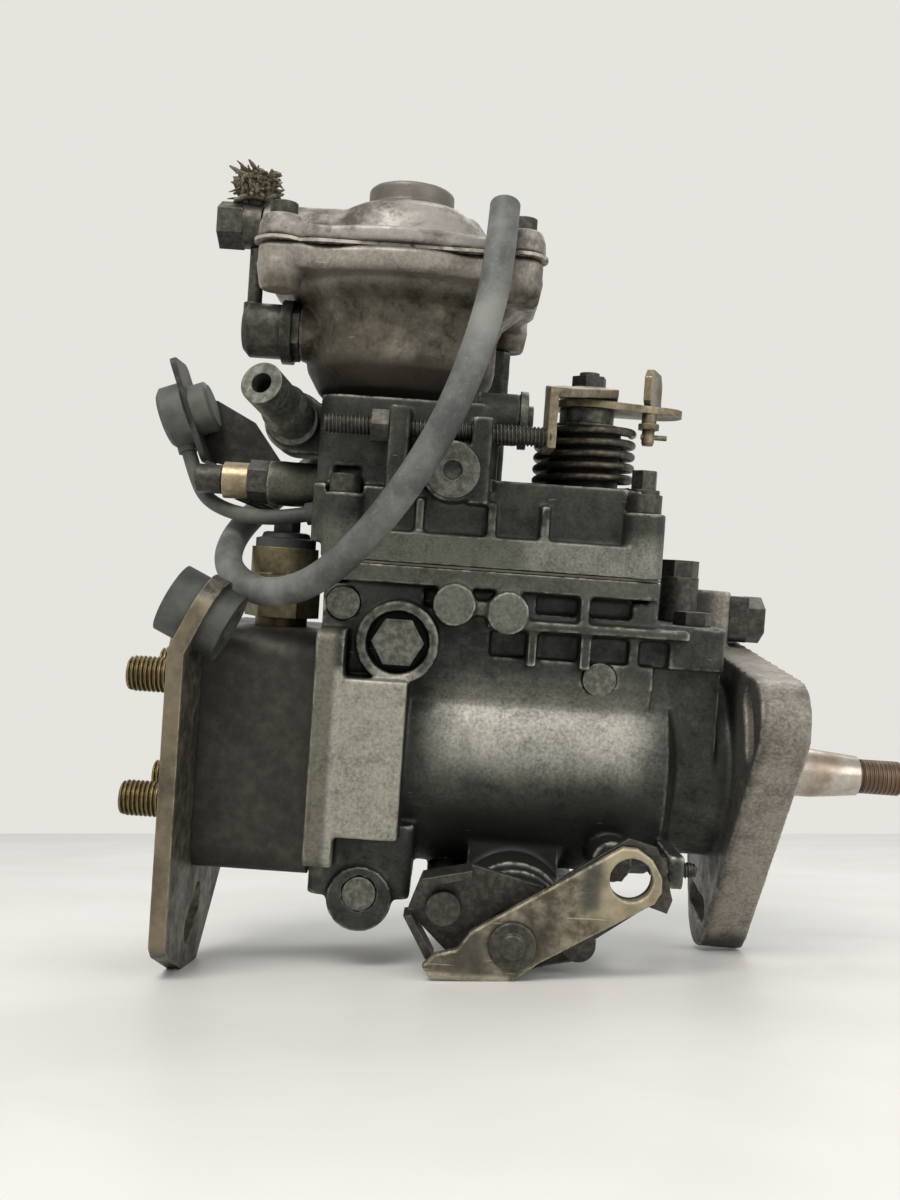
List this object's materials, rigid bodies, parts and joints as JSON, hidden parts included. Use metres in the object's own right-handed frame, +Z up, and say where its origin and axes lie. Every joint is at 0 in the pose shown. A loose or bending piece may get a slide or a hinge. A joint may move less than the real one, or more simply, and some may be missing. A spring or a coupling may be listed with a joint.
{
  "type": "rotary diesel injection pump",
  "caption": "Flange-mounted rotary diesel injection pump with cast housing, boost compensator, levers and delivery outlets.",
  "frame": {"origin": "on the drive shaft's axis, in the outer face of the mounting flange, where the pilot spigot starts", "axes": "+X along the drive shaft to its free end, +Z up, -Y towards the side with the levers"},
  "size_m": [0.2725, 0.127, 0.2715],
  "materials": {
    "dark_casting": "rough, grimy",
    "light_casting": "rough, stained",
    "dark_steel": "oily satin",
    "bright_steel": "worn satin",
    "inner_steel": "ground",
    "yellow_zinc": "worn zinc plating",
    "brass": "dull",
    "brown_steel": "brown stained",
    "spring_steel": "dark",
    "hose_rubber": "matt",
    "black_rubber": "matt",
    "braid": "frayed textile",
    "grey_plastic": "matt",
    "gasket_paper": "matt"
  },
  "bodies": {
    "pump": {"pump_housing": "dark_casting", "core_plugs": "bright_steel", "pivot_bolts": "bright_steel", "shaft_bush": "brass", "shaft_seal": "black_rubber", "feed_pump_ring": "inner_steel", "governor_shaft": "inner_steel", "plunger_barrel": "inner_steel", "timing_covers": "dark_casting", "distributor_head": "dark_steel", "delivery_valve_holders": "yellow_zinc", "head_bolts": "dark_steel", "rear_bracket": "brown_steel", "bracket_bush": "black_rubber", "shutoff_solenoid": "brass", "solenoid_cap": "black_rubber", "cover_gasket": "gasket_paper", "governor_cover": "dark_casting", "full_load_screw": "dark_steel", "full_load_collar": "brass", "boost_housing": "light_casting", "boost_diaphragm": "black_rubber", "boost_cover": "light_casting", "boost_banjo": "yellow_zinc", "braided_hose_stub": "braid", "boost_link_pipe": "dark_steel", "stop_screws": "yellow_zinc", "lock_nuts": "dark_steel", "stop_pins": "yellow_zinc", "hex_plugs": "dark_steel", "return_spring": "spring_steel", "cold_start_bracket": "yellow_zinc", "cover_screws": "dark_steel", "inlet_fitting": "dark_steel", "pressure_valve": "dark_steel", "connector_bracket": "spring_steel", "wiring_connector": "grey_plastic", "connector_lead": "black_rubber", "lead_grommet": "black_rubber", "fuel_hose": "hose_rubber", "unions": "yellow_zinc"},
    "drive_train": {"drive_shaft": "bright_steel", "coupling_cross": "inner_steel", "feed_pump_rotor": "inner_steel", "governor_drive_gear": "inner_steel"},
    "plunger": {"cam_plate": "inner_steel", "distributor_plunger": "inner_steel"},
    "timing_piston": {"timing_piston": "inner_steel"},
    "roller_ring": {"roller_ring": "inner_steel"},
    "governor_carrier": {"flyweight_carrier": "inner_steel"},
    "governor_lever": {"governor_lever": "inner_steel"},
    "governor_sleeve": {"governor_sleeve": "inner_steel"},
    "control_collar": {"control_collar": "inner_steel"},
    "control_lever": {"control_shaft": "bright_steel", "throttle_plate": "yellow_zinc", "stop_arm": "yellow_zinc", "control_nut": "dark_steel"},
    "cold_start_lever": {"cold_start_lever": "bright_steel"},
    "boost_pin": {"boost_pin": "inner_steel"},
    "solenoid_plunger": {"solenoid_plunger": "inner_steel"}
  },
  "joints": [
    {"name": "drive_shaft_turn", "type": "hinge", "parent": "pump", "child": "drive_train", "pos_m": [0, 0, 0], "axis": [1, 0, 0], "continuous": true},
    {"name": "plunger_stroke", "type": "slide", "parent": "drive_train", "child": "plunger", "axis": [-1, 0, 0], "range_m": [0, 0.0025], "stiffness_N_per_m": 2000, "springref_m": -0.001},
    {"name": "roller_ring_turn", "type": "hinge", "parent": "pump", "child": "roller_ring", "pos_m": [-0.085, 0, 0], "axis": [1, 0, 0], "range_deg": [0, 3.9]},
    {"name": "timing_piston_slide", "type": "slide", "parent": "pump", "child": "timing_piston", "axis": [0, 1, 0], "range_m": [0, 0.003], "stiffness_N_per_m": 2000, "springref_m": -0.001},
    {"name": "governor_spin", "type": "hinge", "parent": "pump", "child": "governor_carrier", "pos_m": [0, 0, 0.052], "axis": [1, 0, 0], "continuous": true},
    {"name": "governor_lever_tilt", "type": "hinge", "parent": "pump", "child": "governor_lever", "pos_m": [-0.127, 0, 0.039], "axis": [0, 1, 0], "range_deg": [-4, 4]},
    {"name": "governor_sleeve_slide", "type": "slide", "parent": "pump", "child": "governor_sleeve", "axis": [1, 0, 0], "range_m": [-0.0009, 0.0009], "stiffness_N_per_m": 1800},
    {"name": "control_collar_slide", "type": "slide", "parent": "pump", "child": "control_collar", "axis": [1, 0, 0], "range_m": [-0.0021, 0.0021]},
    {"name": "control_lever_turn", "type": "hinge", "parent": "pump", "child": "control_lever", "pos_m": [-0.068, 0, 0.118], "axis": [0, 0, 1], "range_deg": [0, 45], "stiffness_Nm_per_rad": 0.15, "springref_deg": -17.19, "deforming": ["return_spring"]},
    {"name": "cold_start_lever_turn", "type": "hinge", "parent": "pump", "child": "cold_start_lever", "pos_m": [-0.0857, -0.062, -0.048], "axis": [0, 1, 0], "range_deg": [-35, 0]},
    {"name": "boost_pin_slide", "type": "slide", "parent": "pump", "child": "boost_pin", "axis": [0, 0, 1], "range_m": [-0.006, 0], "stiffness_N_per_m": 600, "springref_m": 0.006, "deforming": ["boost_diaphragm"]},
    {"name": "solenoid_plunger_slide", "type": "slide", "parent": "pump", "child": "solenoid_plunger", "axis": [0, 0, 1], "range_m": [0, 0.0012], "stiffness_N_per_m": 800, "springref_m": -0.001}
  ],
  "couplings": [
    {"joint": "roller_ring_turn", "follows": "timing_piston_slide", "rad_per_m": 22.222},
    {"joint": "governor_spin", "follows": "drive_shaft_turn", "ratio": -1.3333},
    {"joint": "governor_lever_tilt", "follows": "governor_sleeve_slide", "rad_per_m": 76.923},
    {"joint": "control_collar_slide", "follows": "governor_sleeve_slide", "ratio": -2.1538}
  ]
}
